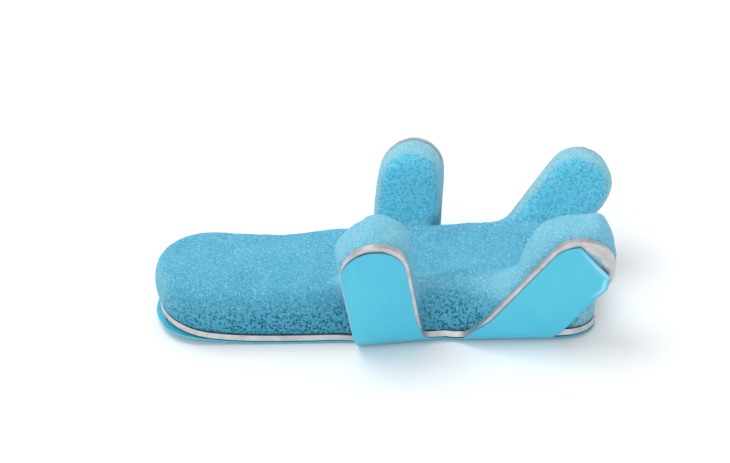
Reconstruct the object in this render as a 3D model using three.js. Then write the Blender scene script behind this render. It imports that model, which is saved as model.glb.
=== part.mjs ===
// Padded four-prong finger splint: a stamped and bent aluminium blank with a foam pad inside and a thin
// plastic film on its outside. Millimetres and degrees; +X runs along the spine from the long pad to the
// tail, +Y across it and +Z up. The blank is drawn flat first and every piece is bent with the same folds.
import * as THREE from "three";

// Blank, as it is cut from flat sheet
const SHEET_THICKNESS = 1.1;
const SPINE_LENGTH = 85.5;
const SPINE_WIDTH = 22.6;
const NOSE_CORNER_RADIUS = 11;
const TAIL_CORNER_RADIUS = 5.5;

// Prong pairs of the flat blank: root is where the prong's axis leaves the spine's edge
const FRONT_PAIR = { root: 47.6, width: 13.1, length: 28.2, slant: 0, frontFillet: 2, rearFillet: 2.6 };
const REAR_PAIR = { root: 68.1, width: 13.1, length: 30.4, slant: 39, frontFillet: 3.5, rearFillet: 1 };

// Folds of each prong, made by hand: angle up from the spine, where the fold starts, its outer radius, how
// far the fold line is turned in plan, how far the prong leans along the spine and how far along the spine
// it is set off its root
const FOLDS = {
  front_near: {
    pair: FRONT_PAIR, side: -1, angle: 80, start: 10.1, radius: 4.5, turn: 8, lean: -4.6, aside: -1.3,
  },
  front_far: {
    pair: FRONT_PAIR, side: 1, angle: 70, start: 11, radius: 4.5, turn: 0, lean: 5.5, aside: 0,
  },
  rear_near: {
    pair: REAR_PAIR, side: -1, angle: 86, start: 9.4, radius: 4, turn: 0, lean: 0, aside: 0,
  },
  rear_far: {
    pair: REAR_PAIR, side: 1, angle: 65, start: 10.4, radius: 4.5, turn: 0, lean: -1, aside: 0,
  },
};

// The rim beside the prongs is curled up a little and the long pad's tip is bent up
const RIM_ANGLE = 12;
const RIM_RADIUS = 12;
const RIM_START = 7;
const RIM_BLEND_LENGTH = 6;
const NOSE_LIFT = 2.2;
const NOSE_LIFT_LENGTH = 26;

// Foam
const GLUE_GAP = 0.3;
const FOAM_THICKNESS = 9.8;
const PRONG_FOAM_THICKNESS = 9.4;
const CREASE_FOAM_THICKNESS = 6.6;
const FOAM_CORNER_RADIUS = 1.6;
const FOAM_INSET = 0.2;
const FOAM_EDGE_ROUND = 2.4;
const FOAM_SWELL = 3;

// Film, die-cut together with the sheet
const FILM_THICKNESS = 0.3;
const FILM_NOSE_DROP = 1.1;
const FILM_NOSE_OVERHANG = 0.8;
const FILM_PEEL_PRONG = "rear_near";
const FILM_PEEL_LENGTH = 9;
const FILM_PEEL_HEIGHT = 2;
const FILM_PEEL_BACK = 1.8;

const radians = THREE.MathUtils.degToRad;
const lerp = THREE.MathUtils.lerp;
const clamp = THREE.MathUtils.clamp;
const smoothstep = THREE.MathUtils.smoothstep;

const HALF_WIDTH = SPINE_WIDTH / 2;
const NOSE_CENTRE = NOSE_CORNER_RADIUS;
const TAIL_CENTRE = SPINE_LENGTH - TAIL_CORNER_RADIUS;

// Mesh density
const ACROSS_SHARES = [0, 0.45, 0.8, 0.93, 1];
const END_ROWS = 7;
const PAD_ROWS = 8;
const PRONG_COLUMNS = 7;
const FILLET_ROWS = 4;
const STRAIGHT_ROWS = 6;
const TIP_ROWS = 5;
const END_ANGLE = radians(10);

// Across the spine, from the near edge to the far edge
const ACROSS = [...ACROSS_SHARES.slice(1).reverse().map((share) => -share), ...ACROSS_SHARES];

// The centre of a root fillet: edge is -1 on the nose side of a prong and 1 on its tail side
function filletCentre(pair, edge) {
  const radius = edge < 0 ? pair.frontFillet : pair.rearFillet;
  const reach = edge * (pair.width / 2 + radius);
  const slant = radians(pair.slant);
  const along = (radius + reach * Math.sin(slant)) / Math.cos(slant);
  return {
    x: pair.root + along * Math.sin(slant) + reach * Math.cos(slant),
    s: HALF_WIDTH + radius,
    radius,
  };
}

// A point of a rounded end, as its share across: lateral and axial distances from the corner centres
function endPoint(halfWidth, corner, angle, bow, share) {
  const flat = halfWidth - corner;
  const chord = { lateral: share * (flat + corner * Math.sin(angle)), axial: corner * Math.cos(angle) };
  const arc = {
    lateral: share * flat + corner * Math.sin(share * angle),
    axial: corner * Math.cos(share * angle),
  };
  return { lateral: lerp(chord.lateral, arc.lateral, bow), axial: lerp(chord.axial, arc.axial, bow) };
}

// Rows across the spine: each gives the flat x and s of a column for an inset outline
function spineRows() {
  const rows = [];
  const turn = Math.PI / 2 - END_ANGLE;
  const endRow = (centre, radius, sign, step) => (inset, share) => {
    const angle = Math.PI / 2 - (turn * step) / END_ROWS;
    const p = endPoint(HALF_WIDTH - inset, radius - inset, angle, step / END_ROWS, share);
    return { x: centre + sign * p.axial, s: p.lateral };
  };
  const bodyRow = (x) => (inset, share) => ({ x, s: share * (HALF_WIDTH - inset) });
  for (let k = END_ROWS; k > 0; k--) rows.push(endRow(NOSE_CENTRE, NOSE_CORNER_RADIUS, -1, k));
  const roots = {};
  let from = NOSE_CENTRE;
  for (const [name, pair, rowsBefore] of [["front", FRONT_PAIR, PAD_ROWS], ["rear", REAR_PAIR, 1]]) {
    const start = filletCentre(pair, -1).x;
    const end = filletCentre(pair, 1).x;
    for (let k = 0; k < rowsBefore; k++) rows.push(bodyRow(lerp(from, start, k / rowsBefore)));
    roots[name] = { first: rows.length, start, end };
    for (let k = 0; k < PRONG_COLUMNS; k++) rows.push(bodyRow(lerp(start, end, k / PRONG_COLUMNS)));
    from = end;
  }
  rows.push(bodyRow(from));
  rows.push(bodyRow(TAIL_CENTRE));
  for (let k = 1; k <= END_ROWS; k++) rows.push(endRow(TAIL_CENTRE, TAIL_CORNER_RADIUS, 1, k));
  return { rows, roots };
}

const { rows: SPINE_ROWS, roots: ROOTS } = spineRows();

// One edge of a flat prong, row by row from the spine to where its tip's rounding begins
function prongEdge(pair, edge, row, inset) {
  const slant = radians(pair.slant);
  const axis = { x: Math.sin(slant), s: Math.cos(slant) };
  const outward = { x: edge * Math.cos(slant), s: -edge * Math.sin(slant) };
  const fillet = filletCentre(pair, edge);
  const halfWidth = pair.width / 2;
  const radius = fillet.radius + inset;
  if (row <= FILLET_ROWS) {
    const full = Math.PI / 2 + edge * slant;
    const turned = (full * row) / FILLET_ROWS;
    return { x: fillet.x - edge * radius * Math.sin(turned), s: fillet.s - radius * Math.cos(turned) };
  }
  const tipAlong = pair.length - halfWidth;
  const half = halfWidth - inset;
  const from = {
    x: fillet.x - outward.x * radius,
    s: fillet.s - outward.s * radius,
  };
  const to = {
    x: pair.root + axis.x * tipAlong + outward.x * half,
    s: HALF_WIDTH + axis.s * tipAlong + outward.s * half,
  };
  const share = (row - FILLET_ROWS) / STRAIGHT_ROWS;
  return { x: lerp(from.x, to.x, share), s: lerp(from.s, to.s, share) };
}

// The flat point of a prong's row and column for an inset outline
function prongPoint(pair, row, column, inset) {
  const across = (2 * column) / PRONG_COLUMNS - 1;
  if (row <= FILLET_ROWS + STRAIGHT_ROWS) {
    const a = prongEdge(pair, -1, row, inset);
    const b = prongEdge(pair, 1, row, inset);
    const share = column / PRONG_COLUMNS;
    return { x: lerp(a.x, b.x, share), s: lerp(a.s, b.s, share) };
  }
  const step = row - FILLET_ROWS - STRAIGHT_ROWS;
  const slant = radians(pair.slant);
  const half = pair.width / 2;
  const angle = Math.PI / 2 - ((Math.PI / 2 - END_ANGLE) * step) / TIP_ROWS;
  const p = endPoint(half - inset, half - inset, angle, step / TIP_ROWS, across);
  const along = pair.length - half + p.axial;
  return {
    x: pair.root + Math.sin(slant) * along + Math.cos(slant) * p.lateral,
    s: HALF_WIDTH + Math.cos(slant) * along - Math.sin(slant) * p.lateral,
  };
}

// The bent section of a prong at a station of its root
function prongSection(fold, station) {
  return {
    angle: radians(fold.angle),
    start: fold.start - Math.tan(radians(fold.turn)) * (station - fold.pair.root),
    radius: fold.radius,
    lean: Math.tan(radians(fold.lean)),
    swell: 1,
    prong: true,
  };
}

// The section of the rim where there is no prong
const RIM_SECTION = {
  angle: radians(RIM_ANGLE), start: RIM_START, radius: RIM_RADIUS, lean: 0, swell: 0, prong: false,
};

// The two sections that a station of the spine lies between, and its share of the way
function sectionsAt(side, station) {
  const foldOf = (pair) => Object.values(FOLDS).find((fold) => fold.side === side && fold.pair === pair);
  const front = (at) => prongSection(foldOf(FRONT_PAIR), at);
  const rear = (at) => prongSection(foldOf(REAR_PAIR), at);
  const stops = [
    { at: ROOTS.front.start - RIM_BLEND_LENGTH, section: RIM_SECTION },
    { at: ROOTS.front.start, section: front(ROOTS.front.start) },
    { at: ROOTS.front.end, section: front(ROOTS.front.end) },
    { at: ROOTS.rear.start, section: rear(ROOTS.rear.start) },
    { at: ROOTS.rear.end, section: rear(ROOTS.rear.end) },
    { at: TAIL_CENTRE + TAIL_CORNER_RADIUS / 2, section: RIM_SECTION },
  ];
  if (station <= stops[0].at) return [RIM_SECTION, RIM_SECTION, 0];
  const next = stops.findIndex((stop) => stop.at > station);
  if (next < 0) return [RIM_SECTION, RIM_SECTION, 0];
  const [from, to] = [stops[next - 1], stops[next]];
  return [from.section, to.section, smoothstep(station, from.at, to.at)];
}

// The outer face of the sheet in one section
function outerFace(section, distance) {
  const past = Math.max(0, distance - section.start);
  const tilt = Math.min(past / section.radius, section.angle);
  const straight = Math.max(0, past - section.radius * section.angle);
  const level = Math.min(distance, section.start);
  return {
    out: level + section.radius * Math.sin(tilt) + straight * Math.cos(section.angle),
    up: section.radius * (1 - Math.cos(tilt)) + straight * Math.sin(section.angle),
    tilt,
    shift: section.lean * past,
  };
}

// The finger side of the foam in one section
function innerFace(section, distance, reach) {
  const base = SHEET_THICKNESS + GLUE_GAP;
  const top = base + FOAM_THICKNESS;
  const swollen = (out) => top + FOAM_SWELL * section.swell * (out / HALF_WIDTH) ** 2;
  if (!section.prong) return { out: distance, up: swollen(distance) };
  const { start, radius, angle } = section;
  const off = base + CREASE_FOAM_THICKNESS;
  const crest = swollen(start - off / 2);
  const toCorner = (crest - radius * (1 - Math.cos(angle)) - off * Math.cos(angle)) / Math.sin(angle);
  const cornerDistance = start + radius * angle + toCorner;
  const cornerOut = start + radius * Math.sin(angle) + toCorner * Math.cos(angle) - off * Math.sin(angle);
  const tangent = FOAM_CORNER_RADIUS * Math.tan(angle / 2);
  const from = cornerOut - tangent;
  const to = cornerDistance + tangent;
  if (distance <= from) return { out: distance, up: lerp(top, crest, (distance / from) ** 2) };
  if (distance < to) {
    const turned = (angle * (distance - from)) / (to - from);
    return {
      out: from + FOAM_CORNER_RADIUS * Math.sin(turned),
      up: crest + FOAM_CORNER_RADIUS * (1 - Math.cos(turned)),
    };
  }
  const face = outerFace(section, distance);
  const thickness = lerp(CREASE_FOAM_THICKNESS, PRONG_FOAM_THICKNESS, smoothstep(distance, to, reach));
  return {
    out: face.out - (base + thickness) * Math.sin(angle),
    up: face.up + (base + thickness) * Math.cos(angle),
  };
}

// A face's point at a flat point: prongs keep their own section, the spine blends between its neighbours
function faceAt(flat, distance, face) {
  const side = flat.s < 0 ? -1 : 1;
  if (flat.prong) return face(prongSection(FOLDS[flat.prong], flat.station), distance, flat.reach);
  const [from, to, share] = sectionsAt(side, flat.station);
  const a = face(from, distance, HALF_WIDTH);
  const b = face(to, distance, HALF_WIDTH);
  return Object.fromEntries(Object.keys(a).map((key) => [key, lerp(a[key], b[key], share)]));
}

// Where a flat point of the blank ends up: offset is measured inwards from the sheet's outer face
function bent(flat, offset, foamShare = 0, noseLift = NOSE_LIFT) {
  const axisX = flat.prong ? flat.x : clamp(flat.x, NOSE_CENTRE, TAIL_CENTRE);
  const distance = flat.prong ? Math.abs(flat.s) : Math.hypot(flat.x - axisX, flat.s);
  const direction = flat.prong || distance === 0
    ? new THREE.Vector2(0, Math.sign(flat.s))
    : new THREE.Vector2((flat.x - axisX) / distance, flat.s / distance);
  const outer = faceAt(flat, distance, outerFace);
  let out = outer.out - offset * Math.sin(outer.tilt);
  let up = outer.up + offset * Math.cos(outer.tilt);
  if (foamShare > 0) {
    const inner = faceAt(flat, distance, innerFace);
    out = lerp(out, inner.out, foamShare);
    up = lerp(up, inner.up, foamShare);
  }
  const lift = noseLift * clamp(1 - flat.x / NOSE_LIFT_LENGTH, 0, 1) ** 2;
  return new THREE.Vector3(axisX + direction.x * out + outer.shift, direction.y * out, up + lift);
}

// Every flat point of the blank for an inset outline, in one fixed order
function flatPoints(inset) {
  const points = [];
  SPINE_ROWS.forEach((row) => ACROSS.forEach((share) => {
    const p = row(inset, share);
    points.push({ ...p, station: clamp(p.x, NOSE_CENTRE, SPINE_LENGTH), prong: null });
  }));
  for (const [name, fold] of Object.entries(FOLDS)) {
    for (let row = 1; row <= FILLET_ROWS + STRAIGHT_ROWS + TIP_ROWS; row++) {
      for (let column = 0; column <= PRONG_COLUMNS; column++) {
        const p = prongPoint(fold.pair, row, column, inset);
        const station = p.x - Math.tan(radians(fold.pair.slant)) * (p.s - HALF_WIDTH);
        const reach = HALF_WIDTH + fold.pair.length;
        const aside = fold.aside * Math.min(row / FILLET_ROWS, 1);
        points.push({ x: p.x + aside, s: fold.side * p.s, station, reach, prong: name });
      }
    }
  }
  return points;
}

// The quads of the blank, counter-clockwise seen from above, as indices into flatPoints
function blankQuads() {
  const quads = [];
  const width = ACROSS.length;
  for (let row = 0; row + 1 < SPINE_ROWS.length; row++) {
    for (let k = 0; k + 1 < width; k++) {
      const a = row * width + k;
      quads.push([a, a + width, a + width + 1, a + 1]);
    }
  }
  let base = SPINE_ROWS.length * width;
  const prongRows = FILLET_ROWS + STRAIGHT_ROWS + TIP_ROWS;
  for (const fold of Object.values(FOLDS)) {
    const root = fold.pair === FRONT_PAIR ? ROOTS.front : ROOTS.rear;
    const edge = fold.side < 0 ? 0 : width - 1;
    const index = (row, column) => row === 0
      ? (root.first + column) * width + edge
      : base + (row - 1) * (PRONG_COLUMNS + 1) + column;
    for (let row = 0; row < prongRows; row++) {
      for (let column = 0; column < PRONG_COLUMNS; column++) {
        const quad = [
          index(row, column), index(row, column + 1), index(row + 1, column + 1), index(row + 1, column),
        ];
        quads.push(fold.side > 0 ? quad : quad.reverse());
      }
    }
    base += prongRows * (PRONG_COLUMNS + 1);
  }
  return quads;
}

const QUADS = blankQuads();

// The outline of the blank, as a loop of point indices
function outlineLoop() {
  const next = new Map();
  const used = new Set(QUADS.flatMap((q) => q.map((a, k) => a + ":" + q[(k + 1) % 4])));
  for (const edge of used) {
    const [a, b] = edge.split(":").map(Number);
    if (!used.has(b + ":" + a)) next.set(a, b);
  }
  const loop = [next.keys().next().value];
  while (next.get(loop[loop.length - 1]) !== loop[0]) loop.push(next.get(loop[loop.length - 1]));
  return loop;
}

const OUTLINE = outlineLoop();

// A closed mesh between a bottom and a top layer, joined by rings round the outline
function layered(layers) {
  const positions = [];
  const indices = [];
  const put = (points) => {
    const first = positions.length / 3;
    points.forEach((p) => positions.push(p.x, p.y, p.z));
    return first;
  };
  const bottom = put(layers[0]);
  const top = put(layers[layers.length - 1]);
  for (const [a, b, c, d] of QUADS) {
    indices.push(top + a, top + b, top + c, top + a, top + c, top + d);
    indices.push(bottom + a, bottom + c, bottom + b, bottom + a, bottom + d, bottom + c);
  }
  const count = OUTLINE.length;
  const rings = layers.map((layer, k) => {
    if (k === 0) return OUTLINE.map((i) => bottom + i);
    if (k === layers.length - 1) return OUTLINE.map((i) => top + i);
    const first = put(OUTLINE.map((i) => layer[i]));
    return OUTLINE.map((_, i) => first + i);
  });
  for (let k = 0; k + 1 < rings.length; k++) {
    for (let i = 0; i < count; i++) {
      const j = (i + 1) % count;
      const [a, b, c, d] = [rings[k][i], rings[k][j], rings[k + 1][j], rings[k + 1][i]];
      indices.push(a, b, c, a, c, d);
    }
  }
  const geometry = new THREE.BufferGeometry();
  geometry.setAttribute("position", new THREE.Float32BufferAttribute(positions, 3));
  geometry.setIndex(indices);
  geometry.computeVertexNormals();
  return geometry;
}

function sheetGeometry() {
  return layered([0, SHEET_THICKNESS].map((offset) => flatPoints(0).map((p) => bent(p, offset))));
}

// The film's flat points: it hangs free past the nose, and one prong's end of it is peeled back and lifted
function filmPoints() {
  const { root, length, slant } = FOLDS[FILM_PEEL_PRONG].pair;
  const axis = { x: Math.sin(radians(slant)), s: Math.cos(radians(slant)) };
  return flatPoints(0).map((p) => {
    if (p.prong === FILM_PEEL_PRONG) {
      const side = Math.sign(p.s);
      const along = (p.x - root) * axis.x + (side * p.s - HALF_WIDTH) * axis.s;
      const peel = smoothstep(along, length - FILM_PEEL_LENGTH, length);
      const back = FILM_PEEL_BACK * peel;
      return { ...p, x: p.x - back * axis.x, s: p.s - side * back * axis.s, lift: FILM_PEEL_HEIGHT * peel };
    }
    const nose = clamp(1 - p.x / NOSE_CENTRE, 0, 1);
    return { ...p, x: p.x - FILM_NOSE_OVERHANG * nose, lift: 0 };
  });
}

function filmGeometry() {
  const noseLift = NOSE_LIFT - FILM_NOSE_DROP;
  return layered([GLUE_GAP + FILM_THICKNESS, GLUE_GAP].map((depth) => (
    filmPoints().map((p) => bent(p, -depth - p.lift, 0, noseLift))
  )));
}

// Rings of the foam's edge: inset as a share of the edge rounding, and the share of its height
const FOAM_RINGS = [
  { inset: 0, height: 0 },
  { inset: -0.1, height: 0.3 },
  { inset: -0.1, height: 0.6 },
  { inset: 0.14, height: 0.83 },
  { inset: 0.42, height: 0.95 },
  { inset: 1, height: 1 },
];

function foamGeometry() {
  return layered(FOAM_RINGS.map(({ inset, height }) => (
    flatPoints(FOAM_INSET + inset * FOAM_EDGE_ROUND).map((p) => bent(p, SHEET_THICKNESS + GLUE_GAP, height))
  )));
}

function piece(name, geometry, color, roughness, metalness) {
  const mesh = new THREE.Mesh(geometry, new THREE.MeshStandardMaterial({ color, roughness, metalness }));
  mesh.name = name;
  return mesh;
}

const splint = new THREE.Group();
splint.add(
  piece("aluminium_sheet", sheetGeometry(), 0xc9c8c6, 0.35, 1),
  piece("outer_film", filmGeometry(), 0x53bcd9, 0.4, 0),
  piece("foam_pad", foamGeometry(), 0x62b8d8, 0.95, 0),
);

// The origin sits under the middle of the splint, on the surface that it lies on
const bounds = new THREE.Box3().setFromObject(splint);
const middle = bounds.getCenter(new THREE.Vector3());
splint.position.set(-middle.x, -middle.y, -bounds.min.z);

export default splint;
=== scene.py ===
# Foam-padded aluminium finger splint, dressed for the photograph's view.
import math

import bmesh
import bpy
import numpy as np
from mathutils import Matrix, Vector, noise
from mathutils.bvhtree import BVHTree


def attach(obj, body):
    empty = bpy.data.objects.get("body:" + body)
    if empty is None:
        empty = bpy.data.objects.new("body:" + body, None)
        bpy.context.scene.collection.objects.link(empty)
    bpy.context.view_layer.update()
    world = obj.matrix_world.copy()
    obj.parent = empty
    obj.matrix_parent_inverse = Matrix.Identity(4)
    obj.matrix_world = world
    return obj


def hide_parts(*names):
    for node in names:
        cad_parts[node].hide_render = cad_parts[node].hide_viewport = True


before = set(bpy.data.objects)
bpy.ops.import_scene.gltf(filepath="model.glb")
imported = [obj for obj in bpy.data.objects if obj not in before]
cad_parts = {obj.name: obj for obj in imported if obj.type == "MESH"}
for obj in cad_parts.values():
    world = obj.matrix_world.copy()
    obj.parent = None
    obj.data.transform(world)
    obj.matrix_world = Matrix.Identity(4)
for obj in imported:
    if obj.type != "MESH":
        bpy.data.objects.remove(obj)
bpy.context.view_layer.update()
mm = 0.001
imageWidth = 730
imageHeight = 463
root = "root"


# Camera, matched to the photograph
view = {
    "azimuth": 5.5,  # degrees round the splint
    "elevation": 34.5,
    "roll": -4.2,
    "distance": 480 * mm,
    "lens": 121.0,
    "aim": Vector((0, 0, 12 * mm)),
    "aimPixel": (382.3, 252.0),  # where the aim point falls in the photograph
}


def addCamera():
    turn, rise, roll = (math.radians(view[key]) for key in ("azimuth", "elevation", "roll"))
    back = Vector((math.sin(turn) * math.cos(rise), -math.cos(turn) * math.cos(rise), math.sin(rise)))
    level = Vector((math.cos(turn), math.sin(turn), 0))
    upright = back.cross(level)
    right = math.cos(roll) * level + math.sin(roll) * upright
    up = math.cos(roll) * upright - math.sin(roll) * level
    data = bpy.data.cameras.new("camera")
    data.lens = view["lens"]
    data.clip_start = 0.01
    data.shift_x = -(view["aimPixel"][0] - imageWidth / 2) / imageWidth
    data.shift_y = (view["aimPixel"][1] - imageHeight / 2) / imageWidth
    camera = bpy.data.objects.new("camera", data)
    bpy.context.scene.collection.objects.link(camera)
    turned = Matrix((right, up, back)).transposed().to_4x4()
    camera.matrix_world = Matrix.Translation(view["aim"] + back * view["distance"]) @ turned
    bpy.context.scene.camera = camera


# Shader sums: a wire is a socket that Python's operators work on
class Wire:
    def __init__(self, finish, socket):
        self.finish = finish
        self.socket = socket

    def math(self, operation, *values):
        return self.finish.add("ShaderNodeMath", {"operation": operation}, dict(enumerate(values)))

    def __add__(self, other):
        return self.math("ADD", self, other)

    def __sub__(self, other):
        return self.math("SUBTRACT", self, other)

    def __rsub__(self, other):
        return self.math("SUBTRACT", other, self)

    def __mul__(self, other):
        return self.math("MULTIPLY", self, other)

    def __truediv__(self, other):
        return self.math("DIVIDE", self, other)

    def atMost(self, other):
        return self.math("MINIMUM", self, other)

    __radd__ = __add__


class Finish:
    def __init__(self, name):
        self.material = bpy.data.materials.new(name)
        self.material.use_nodes = True
        self.tree = self.material.node_tree
        self.tree.nodes.clear()

    def add(self, kind, settings=None, values=None, output=0):
        node = self.tree.nodes.new(kind)
        for key, value in (settings or {}).items():
            setattr(node, key, value)
        for key, value in (values or {}).items():
            if isinstance(value, Wire):
                self.tree.links.new(value.socket, node.inputs[key])
            else:
                node.inputs[key].default_value = value
        return Wire(self, node.outputs[output]) if node.outputs else None

    def place(self):
        return self.add("ShaderNodeTexCoord", output="Object")

    def cells(self, size, output="Distance"):
        settings = {"voronoi_dimensions": "3D", "feature": "F1"}
        return self.add("ShaderNodeTexVoronoi", settings, {
            "Vector": self.place(), "Scale": 1 / size, "Randomness": 1.0,
        }, output)

    def grain(self, size, detail=2.0, rough=0.5, at=None):
        return self.add("ShaderNodeTexNoise", {"noise_dimensions": "3D"}, {
            "Vector": at or self.place(), "Scale": 1 / size, "Detail": detail, "Roughness": rough,
        }, "Fac")

    def ramp(self, value, low, high):
        return self.add("ShaderNodeMapRange", {"interpolation_type": "SMOOTHSTEP"}, {
            "Value": value, "From Min": low, "From Max": high, "To Min": 0.0, "To Max": 1.0,
        })

    def blend(self, share, first, second):
        return self.add("ShaderNodeMix", {"data_type": "RGBA"}, {0: share, 6: first, 7: second}, 2)

    def stretched(self, scale):
        return self.add("ShaderNodeMapping", {}, {"Vector": self.place(), "Scale": scale})

    def facing(self, axis):
        normal = self.add("ShaderNodeNewGeometry", output="Normal")
        return self.add("ShaderNodeSeparateXYZ", {}, {"Vector": normal}, axis)

    def along(self, axis):
        return self.add("ShaderNodeSeparateXYZ", {}, {"Vector": self.place()}, axis)

    def attribute(self, name):
        return self.add("ShaderNodeAttribute", {"attribute_name": name}, {}, "Fac")

    def surface(self, sockets, height=None, depth=0.0, strength=1.0):
        if height is not None:
            sockets["Normal"] = self.add("ShaderNodeBump", {}, {
                "Height": height, "Distance": depth, "Strength": strength,
            })
        shader = self.add("ShaderNodeBsdfPrincipled", {}, sockets)
        self.add("ShaderNodeOutputMaterial", {}, {"Surface": shader})
        return self.material


def colour(red, green, blue):
    # a colour as it is seen on screen, made linear
    linear = [((c / 255 + 0.055) / 1.055) ** 2.4 for c in (red, green, blue)]
    return (*linear, 1.0)


# Mesh helpers
def objectFrom(name, mesh):
    made = bpy.data.objects.new(name, mesh)
    bpy.context.scene.collection.objects.link(made)
    return made


def eased(value, low, high):
    # rises smoothly from 0 to 1 between the two limits
    share = np.clip((value - low) / (high - low), 0, 1)
    return share * share * (3 - 2 * share)


# The long pad's near edge lies a little flatter than the far one, all in mm
nearEdge = {
    "drop": 0.5,
    "aside": (8, 11.2),  # the drop grows or fades between each two limits
    "behindProng": (7.5, 12),
    "pastNose": (-40, -28),
    "upward": (5, 11),
}


def edgeDrop(x, y, z):
    drop = nearEdge["drop"] * eased(-y, *nearEdge["aside"]) * eased(-x, *nearEdge["behindProng"])
    return drop * eased(x, *nearEdge["pastNose"]) * (1 - eased(z, *nearEdge["upward"]))


def mergedCopy(node, name):
    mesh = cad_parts[node].data.copy()
    mesh.materials.clear()
    work = bmesh.new()
    work.from_mesh(mesh)
    bmesh.ops.remove_doubles(work, verts=work.verts, dist=2e-6)
    for vert in work.verts:
        vert.co.z -= edgeDrop(*(vert.co / mm)) * mm
    bmesh.ops.join_triangles(
        work, faces=work.faces, angle_face_threshold=0.9, angle_shape_threshold=1.3, cmp_seam=False,
        cmp_sharp=False, cmp_uvs=False, cmp_vcols=False, cmp_materials=False,
    )
    work.to_mesh(mesh)
    work.free()
    return objectFrom(name, mesh)


def settled(piece):
    # the evaluated mesh takes the place of the piece's own, and its modifiers go
    bpy.context.view_layer.update()
    shaped = piece.evaluated_get(bpy.context.evaluated_depsgraph_get())
    mesh = bpy.data.meshes.new_from_object(shaped)
    piece.modifiers.clear()
    piece.data = mesh
    return piece


def subdivided(piece, levels):
    smooth = piece.modifiers.new("smooth", "SUBSURF")
    smooth.levels = levels
    smooth.render_levels = levels
    return settled(piece)


def coordinates(mesh):
    flat = np.empty(len(mesh.vertices) * 3)
    mesh.vertices.foreach_get("co", flat)
    return flat.reshape(-1, 3)


def normalsOf(mesh):
    flat = np.empty(len(mesh.vertices) * 3)
    mesh.vertex_normals.foreach_get("vector", flat)
    return flat.reshape(-1, 3)


def moveTo(mesh, points):
    mesh.vertices.foreach_set("co", points.ravel())
    mesh.update()


def lumps(points, size, seed):
    # soft noise from -1 to 1 at each point
    shift = Vector((seed * 3.7, seed * 1.3, seed * 2.1))
    return np.array([noise.noise(Vector(p) / size + shift) for p in points])


def smoothShaded(piece):
    piece.data.polygons.foreach_set("use_smooth", [True] * len(piece.data.polygons))
    piece.data.update()


def finished(piece, node, material):
    piece.data.materials.clear()
    piece.data.materials.append(material)
    smoothShaded(piece)
    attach(piece, root)
    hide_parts(node)
    print(piece.name, len(piece.data.polygons), "faces")
    return piece


# Foam pad
foam = {
    "voxel": 0.36 * mm,
    "glueGap": 0.05 * mm,  # left between foam and sheet
    "swell": 0.12 * mm,
    "lumpSize": 9 * mm,
    "lumpDepth": 0.30 * mm,
    "dimpleSize": 3 * mm,
    "dimpleDepth": 0.10 * mm,
    "poreSize": 0.75 * mm,
    "poreDepth": 0.14 * mm,
    "poreRim": 0.8,
    "poreMiddle": 0.45,
    "crumple": 0.35 * mm,
    "crumpleSize": 4.2 * mm,
    "wrinkleSize": 2 * mm,
    "blotchSize": 3 * mm,
    "glued": (0.35 * mm, 1.2 * mm),  # nearer to the sheet than this the foam keeps its place
    "closing": (0.4 * mm, 0.9 * mm),
    # low: where the painted shade close to the sheet fades out
    "low": (0.3 * mm, 4.0 * mm),
    "farFace": (0, -0.93, 0.37),  # the way the far prongs' pads face
    "farAside": (3, 6),  # where each part of the foam begins and is fully itself, in mm
    "farUp": (12, 15),
    "nearAside": (7, 9.5),
    "nearUp": (8, 12),
    "nearAlong": (-10.5, -7.5),
    "tailAlong": (33, 38),
    "edgeAlong": (4, 9),
    "sideAside": (5, 8),
    "sideDown": (-12, -3),
    "shoulderAside": (4, 8.5),
    "longPadAlong": (6, 12),
    "bulges": (  # middle, reach and shift, in mm
        ((15, 9.5, 12.5), (6.5, 4.5, 5), (0, 0.3, 1.3)),
        ((-10, 8, 12), (6, 5, 5), (0, 0, 0.9)),
        ((-6, -12, 19.5), (4, 5, 5), (-1.5, 0, 1.6)),
        ((30.5, -9, 18), (3.4, 5, 4.5), (-1.6, 0, 1.2)),
        ((34, -9.5, 21), (3.2, 5, 4), (-0.8, 0, 2.3)),
        ((43, -11, 24), (2.8, 5, 4), (0, 0, 2.2)),
        ((-44, 0, 7), (4, 9, 6), (-0.5, 0, 0)),
    ),
    "holeSize": 0.64 * mm,
    "fineSize": 0.28 * mm,
    "tornSize": 0.3 * mm,
    "patchSize": 6 * mm,
    "glintSize": 0.2 * mm,
    "reliefDepth": 0.2 * mm,
    "body": colour(98, 184, 213),
    # pale: what the painted rim light and the paler tail blend towards
    "pale": colour(148, 208, 224),
    # deep: for random darker patches, and for the painted shade
    "deep": colour(60, 152, 182),
    # painted light: the far pads' faces turned towards the near side are brightened towards this colour
    "clear": colour(104, 212, 242),
    # painted shade inside the pores
    "poreShadow": colour(14, 92, 118),
    "paintedGlint": colour(206, 236, 244),
}


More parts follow.
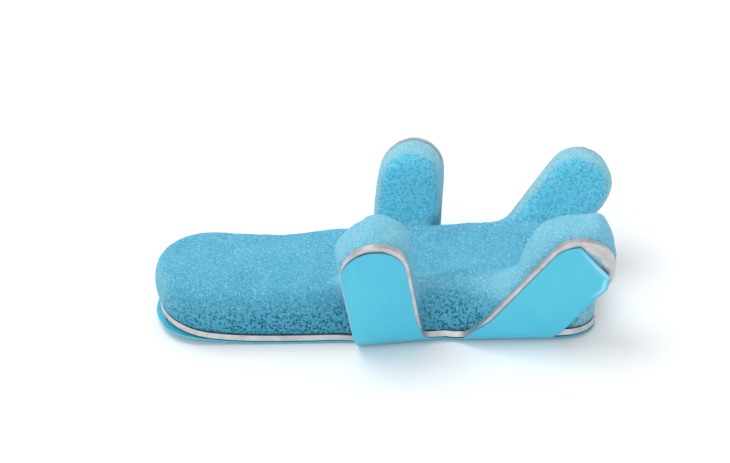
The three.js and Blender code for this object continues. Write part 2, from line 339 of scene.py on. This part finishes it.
def foamFinish():
    made = Finish("openCellFoam")
    rimLightAndTail = made.attribute("rimLightAndTail")
    poreOpeningAndShade = made.attribute("poresOpenAndShaded")
    low = made.attribute("low")
    shade = made.attribute("shade")
    lit = made.attribute("lit")
    torn = (made.grain(foam["tornSize"]) - 0.5) * 0.48
    holes = 1 - made.ramp(made.cells(foam["holeSize"]) + torn, 0.22, 0.57)
    fine = 1 - made.ramp(made.cells(foam["fineSize"]) + torn * 0.6, 0.2, 0.75)
    patch = made.grain(foam["patchSize"])
    base = made.blend(made.ramp(patch, 0.3, 0.7) * 0.25, foam["body"], foam["deep"])
    # painted light: brighter on the far pads' faces turned towards the near side
    base = made.blend(lit, base, foam["clear"])
    # painted rim light: thin foam edges and the near pads turn pale, as light shining through them; the tail
    # turns paler too
    base = made.blend(rimLightAndTail * 0.8, base, foam["pale"])
    # painted shade: steep faces, the near shoulder and the foam close to the sheet darken; the long pad is
    # made a little darker along its length
    base = made.blend(shade * 0.55 + low * 0.15, base, foam["deep"])
    # painted shade in the pores: the holes and fine cells darken, towards a lighter colour where the pads
    # are painted lit
    shadedPores = holes * (poreOpeningAndShade * 0.84 + 0.08) + fine * (0.16 + poreOpeningAndShade * 0.24)
    base = made.blend(shadedPores.atMost(0.95), base, made.blend(lit * 0.75, foam["poreShadow"], foam["deep"]))
    # painted glints: small bright specks, as light catching the cut struts, fewer where the pores are open
    # and shaded
    glintNoise = made.add("ShaderNodeTexWhiteNoise", {"noise_dimensions": "3D"}, {
        "Vector": made.cells(foam["glintSize"], "Position"),
    }, "Value")
    glints = made.ramp(glintNoise, 0.8, 1.0) * (0.42 - poreOpeningAndShade * 0.3)
    base = made.blend(glints, base, foam["paintedGlint"])
    height = 1 - holes * (poreOpeningAndShade * 0.7 + 0.3) - fine * 0.3
    return made.surface({
        "Base Color": base, "Roughness": 0.92, "Specular IOR Level": 0.2,
        "Subsurface Weight": 0.2, "Subsurface Radius": (0.4, 1.2, 1.6), "Subsurface Scale": 0.7 * mm,
    }, height, foam["reliefDepth"], 0.7)


def addAttribute(mesh, name, values):
    layer = mesh.attributes.new(name, "FLOAT", "POINT")
    layer.data.foreach_set("value", values.astype(np.float32))


def padRegions(x, y, z):
    # how far each point belongs to the far prongs' pads, to the near ones' and to the plain rest
    farPad = eased(y, *foam["farAside"]) * eased(z, *foam["farUp"])
    nearPad = eased(-y, *foam["nearAside"]) * eased(z, *foam["nearUp"]) * eased(x, *foam["nearAlong"])
    return farPad, nearPad, (1 - nearPad) * (1 - farPad)


def swollen(points, normals, nearest, nearPad):
    # the foam swells and crumples, and its glued face stays on the sheet
    reach = np.array([hit[3] for hit in nearest])
    towards = np.array([hit[0] for hit in nearest]) - points
    held = eased(reach, *foam["glued"])
    swell = foam["swell"] + foam["lumpDepth"] * lumps(points, foam["lumpSize"], 1)
    swell = swell + foam["dimpleDepth"] * lumps(points, foam["dimpleSize"], 2)
    pores = np.array([noise.voronoi(Vector(p) / foam["poreSize"])[0][0] for p in points])
    swell = swell + foam["poreDepth"] * (np.clip(pores, 0, foam["poreRim"]) - foam["poreMiddle"])
    crumple = lumps(points, foam["crumpleSize"], 7) + 0.5 * lumps(points, foam["wrinkleSize"], 8)
    swell = swell + foam["crumple"] * nearPad * crumple
    close = np.clip(1 - foam["glueGap"] / np.maximum(reach, 1e-6), 0, 1)
    close = close * (1 - eased(reach, *foam["closing"]))
    moved = points + normals * (swell * held)[:, None] + towards * close[:, None]
    for middle, size, shift in foam["bulges"]:
        away = (((points / mm - middle) / size) ** 2).sum(1)
        moved = moved + np.outer(np.exp(-away) * held, shift) * mm
    return moved


def paint(mesh, points, normals, nearest, regions):
    # writes the attributes that the foam's finish reads
    x, y, z = points.T / mm
    farPad, nearPad, plain = regions
    blotch = lumps(points, foam["blotchSize"], 9)
    facing = normals @ np.array(foam["farFace"]) + 0.12 * blotch
    outward = np.maximum(normals[:, 1], -normals[:, 0])
    tail = eased(x, *foam["tailAlong"]) * plain
    # painted rim light: the far pads' edge faces, the near pads and the long pad's far and nose edges turn
    # pale, as light through thin foam; the tail is made paler as well
    edge = eased(outward, 0.3, 0.95) * eased(-x, *foam["edgeAlong"]) * plain
    rimLightAndTail = farPad * eased(1 - facing, 0.0, 0.55) + nearPad * 0.55 + tail * 0.9 + edge * 0.5
    addAttribute(mesh, "rimLightAndTail", rimLightAndTail)
    # more open, darker pores on the near side faces and lower down: partly the cut faces' open cells, partly
    # painted shade
    side = eased(0.18 * blotch - normals[:, 1], 0.0, 0.95)
    side = side * eased(-y, *foam["sideAside"]) * eased(-z, *foam["sideDown"])
    pads = farPad * eased(facing, 0.55, 1.0)
    poreOpeningAndShade = 0.1 + side * (0.9 - tail * 0.6) + pads * 0.22 - nearPad * 0.1
    # painted light on the far pads' faces turned towards the near side, which also lightens their pores
    addAttribute(mesh, "lit", pads * 0.85)
    addAttribute(mesh, "poresOpenAndShaded", np.clip(poreOpeningAndShade, 0, 1))
    # painted shade: steep faces and the near shoulder darken; the long pad is made a little darker along its
    # length
    steep = eased(1.0 + 0.12 * blotch - normals[:, 2], 0.0, 0.9) * (1 - edge * 0.8)
    shoulder = eased(-y, *foam["shoulderAside"]) * eased(normals[:, 2], 0.3, 0.8) * 0.4
    shoulder = shoulder + eased(-x, *foam["longPadAlong"]) * 0.16
    addAttribute(mesh, "shade", (steep * 0.75 + shoulder) * plain * (1 - tail))
    # painted shade: the foam darkens close to the sheet
    reach = np.array([hit[3] for hit in nearest])
    addAttribute(mesh, "low", 1 - eased(reach, *foam["low"]))


def foamPad():
    piece = subdivided(mergedCopy("foam_pad", "foamPad"), 2)
    grid = piece.modifiers.new("grid", "REMESH")
    grid.mode = "VOXEL"
    grid.voxel_size = foam["voxel"]
    settled(piece)
    mesh = piece.data
    points = coordinates(mesh)
    normals = normalsOf(mesh)
    sheetShape = mergedCopy("aluminium_sheet", "sheetShape")
    sheetTree = treeOf(sheetShape)
    bpy.data.objects.remove(sheetShape)
    nearest = [sheetTree.find_nearest(Vector(p)) for p in points]
    farPad, nearPad, plain = padRegions(*(points.T / mm))
    moveTo(mesh, swollen(points, normals, nearest, nearPad))
    paint(mesh, points, normals, nearest, (farPad, nearPad, plain))
    finished(piece, "foam_pad", foamFinish())


def treeOf(piece):
    work = bmesh.new()
    work.from_mesh(piece.data)
    tree = BVHTree.FromBMesh(work)
    work.free()
    return tree


# Aluminium sheet
sheet = {
    "bevel": 0.28 * mm,
    "metal": colour(208, 207, 210),
    # the smears' dull tone, also the painted dark reflection on faces turned upward
    "smearAndDarkReflection": colour(160, 150, 148),
    "residue": colour(140, 196, 208),
    "residueEnd": 4.1,  # the glue's patch beside the peeled film, from the prong's tip, in mm
    "residueCut": ((0.49, 0.87), 4.2),
    "residueOut": 14,
    "streakSize": 0.25 * mm,
    "smearSize": 2.2 * mm,
}


def sheetFinish(tip):
    made = Finish("bareAluminium")
    streaks = made.grain(sheet["streakSize"], 3.0, 0.6, made.stretched((0.25, 0.25, 1.0)))
    smears = made.grain(sheet["smearSize"], 3.0)
    # painted reflection: faces turned upward, such as the top of the rounded edge, turn dark and brownish,
    # on top of the random smears
    upward = made.ramp(made.facing("Z"), 0.45, 0.9)
    base = made.blend(made.ramp(smears, 0.35, 0.75) * 0.4 + upward * 0.45, sheet["metal"], sheet["smearAndDarkReflection"])
    rough = 0.3 + smears * 0.16 + streaks * 0.1
    x = made.along("X") / mm - tip[0]
    z = made.along("Z") / mm - tip[1]
    out = made.along("Y") / -mm
    way, cut = sheet["residueCut"]
    belowCut = made.ramp(cut - (x * way[0] + z * way[1]), 0.0, 0.3)
    inside = made.ramp(sheet["residueEnd"] - x, 0.0, 0.3) * belowCut
    glued = inside * made.ramp(z, -3.0, -1.0) * made.ramp(x, 0.2, 0.8)
    glued = glued * made.ramp(out, sheet["residueOut"], sheet["residueOut"] + 1)
    glued = glued * made.ramp(0 - made.facing("Y"), 0.6, 0.9)
    base = made.blend(glued * 0.85, base, sheet["residue"])
    return made.surface({
        "Base Color": base, "Metallic": 0.85 - glued * 0.8, "Roughness": rough,
    }, streaks, 0.03 * mm, 0.5)


def aluminiumSheet():
    piece = mergedCopy("aluminium_sheet", "aluminiumSheet")
    edge = piece.modifiers.new("edge", "BEVEL")
    edge.width = sheet["bevel"]
    edge.segments = 3
    edge.limit_method = "ANGLE"
    edge.angle_limit = math.radians(55)
    settled(piece)
    subdivided(piece, 2)
    tip, _ = prongTips(coordinates(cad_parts["aluminium_sheet"].data))
    finished(piece, "aluminium_sheet", sheetFinish(tip))


# Outer film
film = {
    "innerReach": 1.08 * mm,  # faces of the sheet nearer to the foam than this are inner ones
    "standOff": 0.03 * mm,
    "sag": 0.22 * mm,  # it hangs a little off the sheet's underside
    "thickness": 0.2 * mm,
    "noseEnd": -20 * mm,  # towards the nose from here the film covers the underside alone
    "noseLength": 13 * mm,
    "noseDrop": 1.1 * mm,
    "noseRadius": 11.25 * mm,
    "noseOverhang": 0.9 * mm,
    "noseReach": 3 * mm,
    "sliversEnd": -42.4 * mm,  # towards the nose from here the sheet's slivers are joined
    "crowdedGap": 0.32 * mm,
    "waveSize": 9 * mm,
    "waveDepth": 0.04 * mm,
    "frontInset": (0.38, 0.72, 0.22),  # all round, at the tip and to the right
    "rearInset": (0.13, 1.17, 0.0),
    "insetReach": 3.5,
    "tipRadius": 6.55,
    "between": 11.5 * mm,  # the gap between the near prongs, along X
    "frontAxis": (-0.08, 0.997),  # in X and Z
    "rearAxis": (0.63, 0.777),
    "cuts": (((0.783, 0.622), 3.37), ((0.98, -0.2), 5.6)),  # the peeled tip ends across these ways
    "cutReach": 9 * mm,  # how far round the tip the cuts go
    "uprightAside": 9,  # where the near prongs stand upright, in mm
    "uprightUp": 14,
    "rearBegins": 28,
    "frontEnds": 20,
    "foldAside": (9, 12),
    "foldUp": (3, 8),
    "flare": (7.0, 9.5),
    "lipHeight": 1.2 * mm,
    "lipFold": 0.9,  # in mm from the cut edge, like the lip's reach and the creases
    "lipReach": 4.2,
    "lipAcross": (-4.5, 2.5),  # in mm from the prong's tip
    "lipDown": (0.5, 5.0),
    "creaseAt": (0.42, 0.85),
    "creaseWidth": 0.27,
    "cloudSize": 14 * mm,
    "lineSize": 1.1 * mm,
    "body": colour(70, 191, 217),
    "shade": colour(62, 180, 214),
    # the painted crease highlight's colour, also used for the faint streaks
    "highlightAndStreaks": colour(150, 222, 252),
}


def filmFinish():
    made = Finish("blueFilm")
    cloud = made.grain(film["cloudSize"], 2.0)
    lines = made.grain(film["lineSize"], 3.0, 0.5, made.stretched((1.0, 1.0, 0.12)))
    base = made.blend(made.ramp(cloud, 0.35, 0.7) * 0.6, film["body"], film["shade"])
    # painted highlight along the peeled lip's creases; the faint lines are real streaks
    base = made.blend(lines * 0.08 + made.attribute("creaseHighlight") * 0.95, base, film["highlightAndStreaks"])
    return made.surface({
        "Base Color": base, "Roughness": 0.36 + cloud * 0.12, "Specular IOR Level": 0.4, "Coat Weight": 0.12,
        "Coat Roughness": 0.25,
    }, lines * 0.4 + cloud, 0.05 * mm, 0.35)


def outerFacesOnly(piece, foamTree):
    work = bmesh.new()
    work.from_mesh(piece.data)
    work.normal_update()
    spare = []
    for face in work.faces:
        centre = face.calc_center_median()
        nearest, _, _, reach = foamTree.find_nearest(centre)
        away = (nearest - centre).normalized()
        noseRim = centre.x < film["noseEnd"] and face.normal.z > -0.5
        if noseRim or reach < film["innerReach"] or face.normal.dot(away) > -0.3:
            spare.append(face)
    bmesh.ops.delete(work, geom=spare, context="FACES")
    # joined into one face, so that the film's edge is smoother round the nose
    slivers = [face for face in work.faces if face.calc_center_median().x < film["sliversEnd"]]
    bmesh.ops.dissolve_faces(work, faces=slivers, use_verts=False)
    crowded = [vert for vert in work.verts if vert.co.x < film["sliversEnd"]]
    bmesh.ops.remove_doubles(work, verts=crowded, dist=film["crowdedGap"])
    work.to_mesh(piece.data)
    work.free()
    return piece


def prongTips(points):
    # the middles of the near prongs' round tips, rear and front, in X and Z
    outside = points[:, 1] < -film["uprightAside"] * mm
    upright = points[outside & (points[:, 2] > film["uprightUp"] * mm)] / mm
    rear = upright[upright[:, 0] > film["rearBegins"]]
    front = upright[upright[:, 0] < film["frontEnds"]]
    top = front[:, 2].max() - film["tipRadius"]
    high = front[front[:, 2] > top - 1][:, 0]
    return (
        (rear[:, 0].max() - film["tipRadius"], rear[:, 2].max() - film["tipRadius"]),
        ((high.min() + high.max()) / 2, top),
    )


def onProng(points, tip, axis):
    # each point's way out from the prong's middle line, in X and Z, and how far out it lies
    x = points[:, 0] / mm - tip[0]
    z = points[:, 2] / mm - tip[1]
    side = x * axis[1] - z * axis[0]
    beyond = x * axis[0] + z * axis[1] > 0
    reach = np.where(beyond, np.hypot(x, z), np.abs(side))
    wayX = np.where(beyond, x / np.maximum(np.hypot(x, z), 1e-6), np.sign(side) * axis[1])
    wayZ = np.where(beyond, z / np.maximum(np.hypot(x, z), 1e-6), -np.sign(side) * axis[0])
    return x, z, wayX, wayZ, reach


def drawnIn(points, rearTip, frontTip):
    # the film ends a little inside the sheet's edge on the near prongs
    moved = points.copy()
    _, y, z = points.T / mm
    for tip, axis, inset, mine in (
        (rearTip, film["rearAxis"], film["rearInset"], points[:, 0] > film["between"]),
        (frontTip, film["frontAxis"], film["frontInset"], points[:, 0] < film["between"]),
    ):
        _, _, wayX, wayZ, reach = onProng(points, tip, axis)
        around, atTip, toRight = inset
        amount = around + atTip * np.maximum(wayZ, 0) + toRight * wayX
        share = np.clip(1 - (film["tipRadius"] - reach) / film["insetReach"], 0, 1) ** 1.5
        share = share * (1 - 0.7 * eased(reach, *film["flare"])) * mine
        share = share * eased(-y, *film["foldAside"]) * eased(z, *film["foldUp"])
        moved[:, 0] -= wayX * amount * share * mm
        moved[:, 2] -= wayZ * amount * share * mm
    return moved


def peeledCut(piece, tip):
    work = bmesh.new()
    work.from_mesh(piece.data)
    centre = Vector((tip[0], 0, tip[1])) * mm
    for way, reach in film["cuts"]:
        across = Vector((way[0], 0, way[1]))
        around = []
        for face in work.faces:
            middle = face.calc_center_median()
            if middle.y < -film["uprightAside"] * mm and (middle - centre).xz.length < film["cutReach"]:
                around.append(face)
        near = {item for face in around for item in (face, *face.edges, *face.verts)}
        bmesh.ops.bisect_plane(
            work, geom=list(near), plane_co=centre + across * reach * mm, plane_no=across, clear_outer=True,
        )
    bmesh.ops.triangulate(work, faces=[face for face in work.faces if len(face.verts) > 4])
    work.to_mesh(piece.data)
    work.free()


def lipOf(points, tip):
    # how far the peeled tip stands off the sheet, and how much painted highlight its creases get
    x, z, _, _, reach = onProng(points, tip, film["rearAxis"])
    first, second = (distance - (x * way[0] + z * way[1]) for way, distance in film["cuts"])
    fromSide = film["tipRadius"] - reach - 0.1
    gap = np.minimum(np.minimum(first, second), fromSide)
    fold = film["lipFold"]
    ridge = np.where(gap < fold, 0.55 + 0.45 * eased(gap, 0, fold), 1 - eased(gap, fold, film["lipReach"]))
    down = -(x * film["rearAxis"][0] + z * film["rearAxis"][1])
    toRight = x * film["rearAxis"][1] - z * film["rearAxis"][0]
    share = eased(toRight, *film["lipAcross"]) * (1 - eased(down, *film["lipDown"]))
    share = share * (points[:, 1] < -film["uprightAside"] * mm)
    middle = np.where(first < np.minimum(second, fromSide), *film["creaseAt"])
    creaseHighlight = np.exp(-((gap - middle) / film["creaseWidth"]) ** 2) * share
    return ridge * share * film["lipHeight"], creaseHighlight


def noseFlap(points):
    # at the long pad's round end the film stands out past the sheet and hangs down
    nose = points[:, 0].min()
    near = np.clip(1 - (points[:, 0] - nose) / film["noseLength"], 0, 1)
    ahead = nose + film["noseRadius"] - points[:, 0]
    across = points[ahead > 0][:, 1]
    aside = points[:, 1] - (across.min() + across.max()) / 2
    reach = np.maximum(np.hypot(ahead, aside), 1e-6)
    share = eased(reach, film["noseRadius"] - film["noseReach"], film["noseRadius"])
    push = film["noseOverhang"] * share * eased(ahead, -1 * mm, 9 * mm) / reach
    moved = points.copy()
    moved[:, 0] -= ahead * push
    moved[:, 1] += aside * push
    moved[:, 2] -= film["noseDrop"] * near ** 2
    return moved


def outerFilm():
    foamTree = treeOf(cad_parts["foam_pad"])
    piece = outerFacesOnly(mergedCopy("aluminium_sheet", "outerFilm"), foamTree)
    rearTip, frontTip = prongTips(coordinates(piece.data))
    subdivided(piece, 3)
    moveTo(piece.data, drawnIn(coordinates(piece.data), rearTip, frontTip))
    peeledCut(piece, rearTip)
    mesh = piece.data
    points = coordinates(mesh)
    normals = normalsOf(mesh)
    away = film["standOff"] + film["waveDepth"] * (1 + lumps(points, film["waveSize"], 5)) / 2
    away = away + film["sag"] * eased(-normals[:, 2], 0.6, 0.95)
    moved = points + normals * away[:, None]
    lip, creaseHighlight = lipOf(points, rearTip)
    moved[:, 1] -= lip
    addAttribute(mesh, "creaseHighlight", creaseHighlight)
    moved = noseFlap(moved)
    moved[:, 2] = np.maximum(moved[:, 2], film["thickness"] + 0.02 * mm)  # it rests on the floor
    moveTo(mesh, moved)
    wall = piece.modifiers.new("wall", "SOLIDIFY")
    wall.thickness = film["thickness"]
    wall.offset = 1.0
    settled(piece)
    finished(piece, "outer_film", filmFinish())


# Studio
studio = {
    "floorHalf": 1.5,
    "sky": 0.85,
    "lamps": (  # name, place and size in metres, power in watts
        ("key", (-0.3, 0.12, 0.82), 0.5, 2.8),
        ("fill", (-0.3, -0.7, 0.45), 0.6, 1.1),
    ),
}


def addStudio():
    floorMesh = bpy.data.meshes.new("floor")
    half = studio["floorHalf"]
    corners = [(-half, -half, 0), (half, -half, 0), (half, half, 0), (-half, half, 0)]
    floorMesh.from_pydata(corners, [], [(0, 1, 2, 3)])
    floor = objectFrom("floor", floorMesh)
    pale = Finish("paleFloor")
    floorMesh.materials.append(pale.surface({"Base Color": (0.93, 0.93, 0.93, 1), "Roughness": 0.7}))
    world = bpy.data.worlds.new("studio")
    world.use_nodes = True
    world.node_tree.nodes["Background"].inputs["Color"].default_value = (1, 1, 1, 1)
    world.node_tree.nodes["Background"].inputs["Strength"].default_value = studio["sky"]
    bpy.context.scene.world = world
    for name, spot, size, power in studio["lamps"]:
        data = bpy.data.lights.new(name, "AREA")
        data.size = size
        data.energy = power
        lamp = objectFrom(name, data)
        lamp.location = spot
        lamp.rotation_euler = (-Vector(spot)).to_track_quat("-Z", "Y").to_euler()


addCamera()
aluminiumSheet()
print("sheet made")
outerFilm()
print("film made")
foamPad()
print("foam made")
addStudio()
bpy.context.scene.view_settings.view_transform = "Standard"

bpy.context.view_layer.update()
